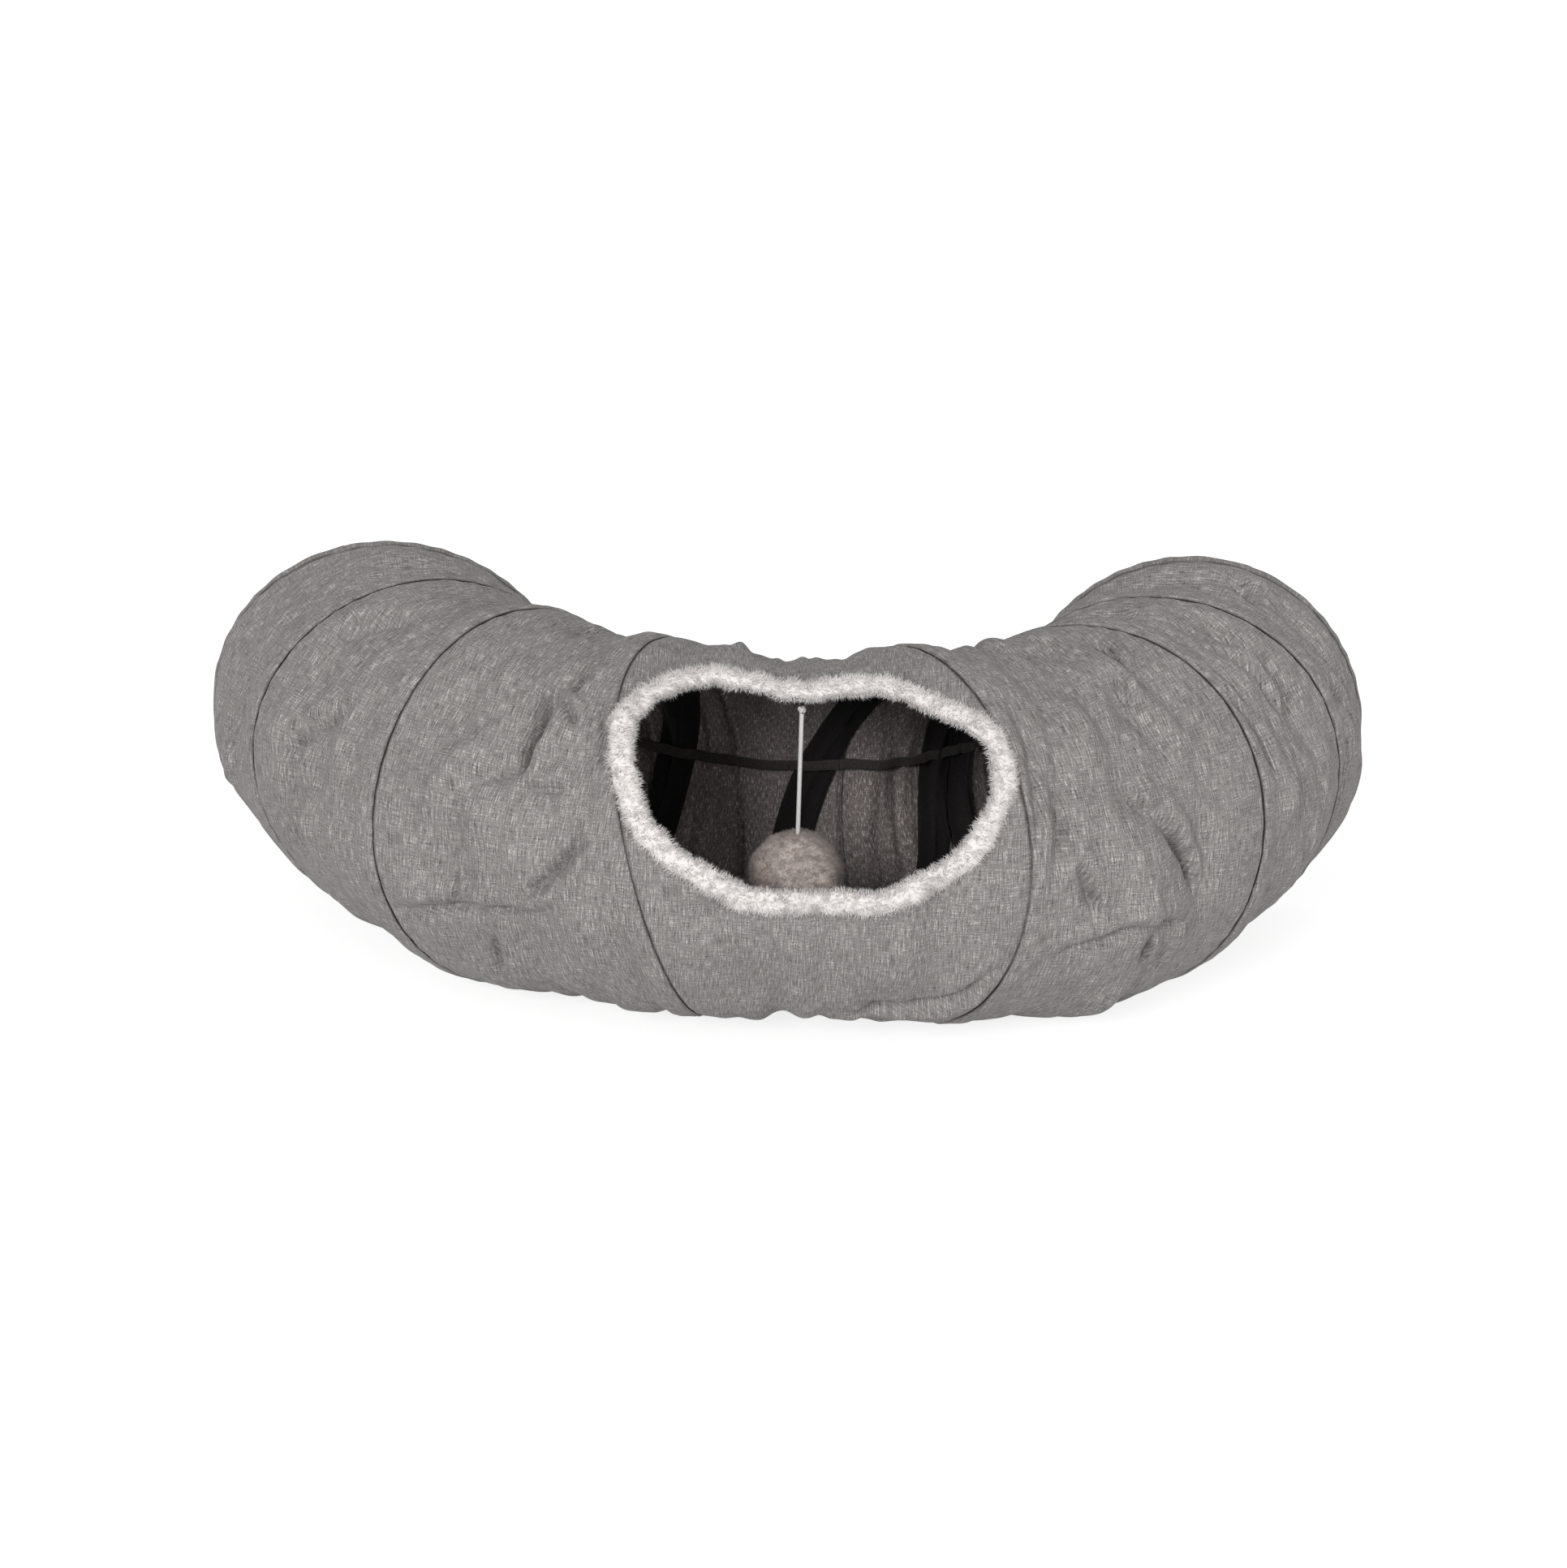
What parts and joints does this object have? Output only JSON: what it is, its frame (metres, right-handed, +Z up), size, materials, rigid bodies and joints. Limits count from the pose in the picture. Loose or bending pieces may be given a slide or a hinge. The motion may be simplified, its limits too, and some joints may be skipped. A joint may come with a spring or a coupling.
{
  "type": "cat tunnel",
  "caption": "Half-moon cloth cat tunnel on a coiled spring wire, with open ends, a plush-edged side hole and a plush ball hanging on elastic.",
  "frame": {"origin": "on the floor under the middle of the tube, at the middle of the bend", "axes": "+X across the half-moon towards its right arm as seen from outside, +Y towards the open side of the half-moon, +Z up; the side hole is on the -Y side"},
  "size_m": [0.8716, 0.4237, 0.2687],
  "materials": {
    "cloth": "grey melange woven cloth",
    "hem": "grey melange woven cloth, folded and stitched",
    "plush": "white long-pile plush",
    "wire": "drawn spring steel",
    "sleeve": "crimped sleeve",
    "tape": "black woven tape",
    "strap": "black narrow webbing",
    "ball": "short grey-beige plush",
    "filling": "loose white fibre",
    "elastic": "covered elastic cord"
  },
  "bodies": {
    "center": {"center_panel": "cloth", "hole_trim": "plush", "bend_strap": "strap", "spring_wire": "wire", "cord_tab": "tape"},
    "hole_left_ring": {"left_inner_panel": "cloth", "hole_left_tape": "tape"},
    "left_inner_ring": {"left_outer_panel": "cloth", "left_inner_tape": "tape"},
    "left_outer_ring": {"left_mouth_panel": "cloth", "left_outer_tape": "tape"},
    "left_mouth_ring": {"left_hem": "hem", "left_wire_sleeve": "sleeve"},
    "hole_right_ring": {"right_inner_panel": "cloth", "hole_right_tape": "tape"},
    "right_inner_ring": {"right_outer_panel": "cloth", "right_inner_tape": "tape"},
    "right_outer_ring": {"right_mouth_panel": "cloth", "right_outer_tape": "tape"},
    "right_mouth_ring": {"right_hem": "hem", "right_wire_sleeve": "sleeve", "right_mouth_tape": "tape"},
    "cord_knot": {"cord_knot": "elastic"},
    "elastic": {"elastic_cord": "elastic"},
    "ball": {"ball_cover": "ball", "ball_filling": "filling"}
  },
  "joints": [
    {"name": "hole_left_fold", "type": "hinge", "parent": "center", "child": "hole_left_ring", "pos_m": [0, 0.305, 0.134], "axis": [0, 0, 1], "range_deg": [0, 10.75], "stiffness_Nm_per_rad": 6, "deforming": ["center_panel", "hole_trim", "bend_strap", "spring_wire"]},
    {"name": "left_inner_fold", "type": "hinge", "parent": "hole_left_ring", "child": "left_inner_ring", "pos_m": [0, 0.305, 0.134], "axis": [0, 0, 1], "range_deg": [0, 20.6], "stiffness_Nm_per_rad": 3, "deforming": ["left_inner_panel", "hole_left_tape"]},
    {"name": "left_outer_fold", "type": "hinge", "parent": "left_inner_ring", "child": "left_outer_ring", "pos_m": [0, 0.305, 0.134], "axis": [0, 0, 1], "range_deg": [0, 16.6], "stiffness_Nm_per_rad": 3, "deforming": ["left_outer_panel", "left_inner_tape"]},
    {"name": "left_mouth_fold", "type": "hinge", "parent": "left_outer_ring", "child": "left_mouth_ring", "pos_m": [0, 0.305, 0.134], "axis": [0, 0, 1], "range_deg": [0, 20.1], "stiffness_Nm_per_rad": 3, "deforming": ["left_mouth_panel", "left_outer_tape"]},
    {"name": "hole_right_fold", "type": "hinge", "parent": "center", "child": "hole_right_ring", "pos_m": [0, 0.305, 0.134], "axis": [0, 0, -1], "range_deg": [0, 10.75], "stiffness_Nm_per_rad": 6, "deforming": ["hole_right_tape"]},
    {"name": "right_inner_fold", "type": "hinge", "parent": "hole_right_ring", "child": "right_inner_ring", "pos_m": [0, 0.305, 0.134], "axis": [0, 0, -1], "range_deg": [0, 22.1], "stiffness_Nm_per_rad": 3, "deforming": ["right_inner_panel", "right_inner_tape"]},
    {"name": "right_outer_fold", "type": "hinge", "parent": "right_inner_ring", "child": "right_outer_ring", "pos_m": [0, 0.305, 0.134], "axis": [0, 0, -1], "range_deg": [0, 13.1], "stiffness_Nm_per_rad": 3, "deforming": ["right_outer_panel", "right_outer_tape"]},
    {"name": "right_mouth_fold", "type": "hinge", "parent": "right_outer_ring", "child": "right_mouth_ring", "pos_m": [0, 0.305, 0.134], "axis": [0, 0, -1], "range_deg": [0, 16.6], "stiffness_Nm_per_rad": 3, "deforming": ["right_mouth_panel", "right_mouth_tape"]},
    {"name": "ball_swing_in", "type": "hinge", "parent": "center", "child": "cord_knot", "pos_m": [0.00653, -0.03511, 0.23891], "axis": [1, 0, 0], "range_deg": [-14, 50]},
    {"name": "ball_swing_along", "type": "hinge", "parent": "cord_knot", "child": "elastic", "pos_m": [0.00653, -0.03511, 0.23891], "axis": [0, 1, 0], "range_deg": [-50, 50]},
    {"name": "ball_pull", "type": "slide", "parent": "elastic", "child": "ball", "axis": [0, 0, -1], "range_m": [0, 0.04], "stiffness_N_per_m": 30, "springref_m": -0.012, "deforming": ["elastic_cord"]}
  ],
  "couplings": [
    {"joint": "left_inner_fold", "follows": "hole_left_fold", "ratio": 1.907},
    {"joint": "left_outer_fold", "follows": "hole_left_fold", "ratio": 1.5349},
    {"joint": "left_mouth_fold", "follows": "hole_left_fold", "ratio": 1.8605},
    {"joint": "right_inner_fold", "follows": "hole_right_fold", "ratio": 2.0465},
    {"joint": "right_outer_fold", "follows": "hole_right_fold", "ratio": 1.2093},
    {"joint": "right_mouth_fold", "follows": "hole_right_fold", "ratio": 1.5349}
  ]
}
